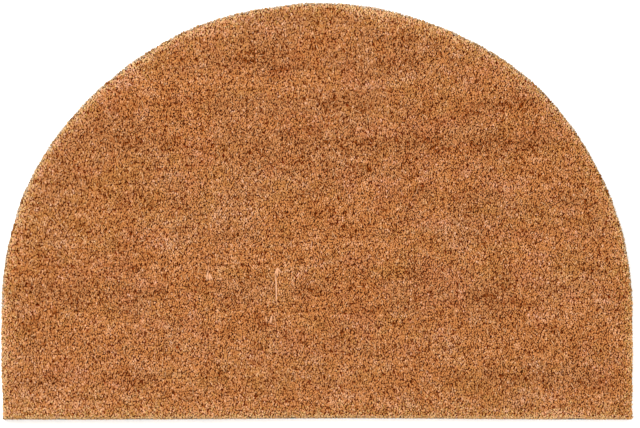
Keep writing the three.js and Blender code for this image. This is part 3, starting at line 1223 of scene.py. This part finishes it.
class DOORMAT_OT_lying_fibres(bpy.types.Operator):
    """Lay short bent fibres among the tips, all over the pile"""

    bl_idname = "doormat.lying_fibres"
    bl_label = "Lying Fibres"

    def execute(self, context):
        sizes = context.scene.doormat_sizes
        rng = np.random.default_rng(seed=71)
        x, y = random_places(sizes, rng, sizes.lying_count, margin=4 * MM)
        count = len(x)
        length = rng.uniform(4, 9, count) * MM
        turn = rng.normal(math.pi / 2, 0.7, count)
        bow = rng.uniform(-1, 1, count) * MM
        radius = rng.uniform(0.35, 0.55, count) * MM
        shade = rng.uniform(0.65, 1.0, count) + band_tone(y) + spot_tone(x, y)
        points, faces, uv = stray_bodies(sizes, x, y, length, turn, bow, radius, shade, hue=STRAW, steps=4)
        piece = mesh_piece("lying_fibres", points, faces, bpy.data.materials["coir_fibre"], uv)
        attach(piece, "root")
        return {"FINISHED"}


class DOORMAT_OT_stage(bpy.types.Operator):
    """Make the floor, the soft lights and the camera"""

    bl_idname = "doormat.stage"
    bl_label = "Stage"

    camera_elevation = math.radians(85)
    camera_distance = 4.0
    pixels_per_metre = 1048.0
    picture_width = 640
    sensor_width = 36.0
    aim = (2.9 * MM, -2.9 * MM)
    daylight = 1.15

    def execute(self, context):
        self.floor(context)
        self.lights(context)
        self.camera(context)
        return {"FINISHED"}

    def floor(self, context):
        """A wide square of floor with its middle under the mat."""
        reach = 6.0
        corners = reach * np.array(((-1, -1, 0), (1, -1, 0), (1, 1, 0), (-1, 1, 0)))
        floor = mesh_piece("floor", corners, [(0, 1, 2, 3)], floor_material(context.scene.doormat_colours))

    def lights(self, context):
        """White light from all round and two soft square lamps that point at the mat."""
        world = bpy.data.worlds.new("studio")
        world.use_nodes = True
        world.node_tree.nodes["Background"].inputs["Color"].default_value = (1, 1, 1, 1)
        world.node_tree.nodes["Background"].inputs["Strength"].default_value = self.daylight
        context.scene.world = world
        for name, place, size, power in (
            ("soft_key", (-0.9, 0.9, 1.9), 1.0, 50),
            ("soft_fill", (1.0, -0.5, 1.8), 1.4, 17),
        ):
            data = bpy.data.lights.new(name, "AREA")
            data.shape = "SQUARE"
            data.size = size
            data.energy = power
            light = bpy.data.objects.new(name, data)
            light.location = place
            light.rotation_mode = "QUATERNION"
            light.rotation_quaternion = (-light.location).to_track_quat("-Z", "Y")
            context.scene.collection.objects.link(light)
        context.scene.view_settings.view_transform = "Standard"

    def camera(self, context):
        """A camera nearly straight above.

        The lens is the sensor's width times the distance over the width seen. The camera turns about X alone
        and stands back from its aim by the distance.
        """
        data = bpy.data.cameras.new("camera")
        data.sensor_width = self.sensor_width
        seen = self.picture_width / self.pixels_per_metre
        data.lens = self.sensor_width * self.camera_distance / seen
        data.clip_end = 50
        camera = bpy.data.objects.new("camera", data)
        back = self.camera_distance
        camera.location = (
            self.aim[0],
            self.aim[1] - back * math.cos(self.camera_elevation),
            back * math.sin(self.camera_elevation),
        )
        camera.rotation_euler = (math.pi / 2 - self.camera_elevation, 0, 0)
        context.scene.collection.objects.link(camera)
        context.scene.camera = camera


class DOORMAT_PT_panel(bpy.types.Panel):
    """Lists the steps that build the doormat"""

    bl_idname = "DOORMAT_PT_panel"
    bl_label = "Half Round Doormat"
    bl_space_type = "VIEW_3D"
    bl_region_type = "UI"
    bl_category = "Doormat"

    def draw(self, context):
        for operator in OPERATORS:
            self.layout.operator(operator.bl_idname)
        for settings in (context.scene.doormat_sizes, context.scene.doormat_colours):
            box = self.layout.box()
            for name in settings.__annotations__:
                box.prop(settings, name)


OPERATORS = (
    DOORMAT_OT_backing,
    DOORMAT_OT_pile_bed,
    DOORMAT_OT_fibres,
    DOORMAT_OT_rim_fibres,
    DOORMAT_OT_stray_fibres,
    DOORMAT_OT_lying_fibres,
    DOORMAT_OT_stage,
)
CLASSES = (DoormatSizes, DoormatColours, *OPERATORS, DOORMAT_PT_panel)


def register():
    for item in CLASSES:
        bpy.utils.register_class(item)
    bpy.types.Scene.doormat_sizes = PointerProperty(type=DoormatSizes)
    bpy.types.Scene.doormat_colours = PointerProperty(type=DoormatColours)


def unregister():
    del bpy.types.Scene.doormat_colours
    del bpy.types.Scene.doormat_sizes
    for item in reversed(CLASSES):
        bpy.utils.unregister_class(item)


def main():
    register()
    bpy.ops.doormat.backing()
    bpy.ops.doormat.pile_bed()
    bpy.ops.doormat.fibres()
    bpy.ops.doormat.rim_fibres()
    bpy.ops.doormat.stray_fibres()
    bpy.ops.doormat.lying_fibres()
    bpy.ops.doormat.stage()
    bpy.context.view_layer.update()


if __name__ == "__main__":
    main()
